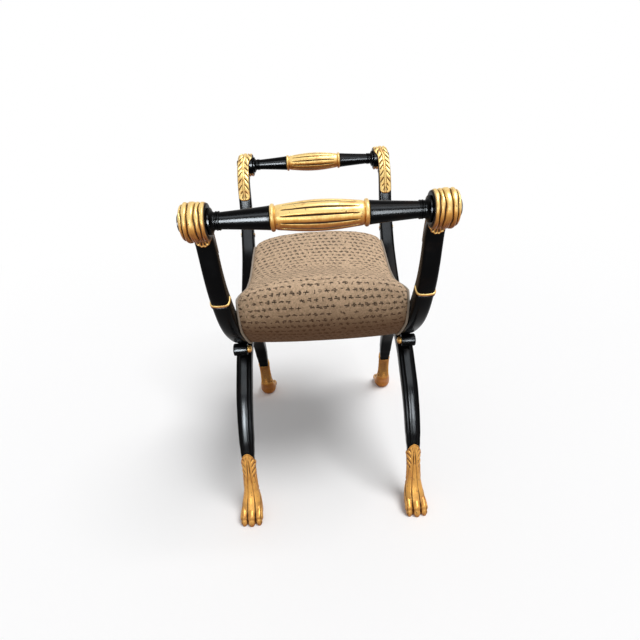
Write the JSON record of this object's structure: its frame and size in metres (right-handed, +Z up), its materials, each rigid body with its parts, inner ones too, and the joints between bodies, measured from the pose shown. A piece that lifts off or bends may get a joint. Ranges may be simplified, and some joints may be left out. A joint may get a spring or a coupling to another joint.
{
  "type": "x frame stool",
  "caption": "X frame stool: two ebonised curved frames with gilt scrolls and paw feet, turned and fluted arm rails, and a dished upholstered seat between the frames.",
  "frame": {"origin": "on the floor under the middle of the stool: the middle of the base of the bounding box", "axes": "+Z up; Y runs along the stool from one arm rail to the other, -Y towards the end that the picture is taken from; X runs across, from one X frame to the other"},
  "size_m": [0.4218, 0.673, 0.7254],
  "materials": {
    "ebonised_wood": "ebonised hardwood, polished to a gloss",
    "gilt_wood": "carved wood, water gilded over a red-brown ground, toned in the hollows",
    "seat_cloth": "taupe woven upholstery cloth with rows of small dark brush marks",
    "piping_cloth": "plain woven piping cord",
    "bare_wood": "unfinished beech",
    "webbing": "jute webbing and canvas",
    "dust_cover_cloth": "black cambric lining",
    "screw_steel": "plain steel"
  },
  "bodies": {
    "root": {"upright_front_left": "ebonised_wood", "upright_rear_left": "ebonised_wood", "upright_front_right": "ebonised_wood", "upright_rear_right": "ebonised_wood", "upright_band_front_left": "gilt_wood", "upright_band_rear_left": "gilt_wood", "upright_band_front_right": "gilt_wood", "upright_band_rear_right": "gilt_wood", "scroll_leaf_front_left": "gilt_wood", "scroll_leaf_rear_left": "gilt_wood", "scroll_leaf_front_right": "gilt_wood", "scroll_leaf_rear_right": "gilt_wood", "leg_front_left": "ebonised_wood", "leg_rear_left": "ebonised_wood", "leg_front_right": "ebonised_wood", "leg_rear_right": "ebonised_wood", "leg_dowel_front_left": "bare_wood", "leg_dowel_rear_left": "bare_wood", "leg_dowel_front_right": "bare_wood", "leg_dowel_rear_right": "bare_wood", "leg_roll_front_left": "ebonised_wood", "leg_roll_rear_left": "ebonised_wood", "leg_roll_front_right": "ebonised_wood", "leg_roll_rear_right": "ebonised_wood", "roll_button_front_left": "gilt_wood", "roll_button_rear_left": "gilt_wood", "roll_button_front_right": "gilt_wood", "roll_button_rear_right": "gilt_wood", "paw_foot_front_left": "gilt_wood", "paw_foot_rear_left": "gilt_wood", "paw_foot_front_right": "gilt_wood", "paw_foot_rear_right": "gilt_wood", "rail_shaft_front_left": "ebonised_wood", "rail_shaft_rear_left": "ebonised_wood", "rail_shaft_front_right": "ebonised_wood", "rail_shaft_rear_right": "ebonised_wood", "rail_end_button_front_left": "ebonised_wood", "rail_end_button_rear_left": "ebonised_wood", "rail_end_button_front_right": "ebonised_wood", "rail_end_button_rear_right": "ebonised_wood", "seat_screw_front_left": "screw_steel", "seat_screw_rear_left": "screw_steel", "seat_screw_front_right": "screw_steel", "seat_screw_rear_right": "screw_steel", "cross_dowel_left": "bare_wood", "cross_dowel_right": "bare_wood", "seat_board_left": "bare_wood", "seat_board_right": "bare_wood", "seat_piping_left": "piping_cloth", "seat_piping_right": "piping_cloth", "rail_barrel_front": "gilt_wood", "rail_barrel_rear": "gilt_wood", "seat_end_rail_front": "bare_wood", "seat_end_rail_rear": "bare_wood", "seat_webbing": "webbing", "seat_dust_cover": "dust_cover_cloth", "seat_cushion": "seat_cloth"}
  },
  "joints": []
}
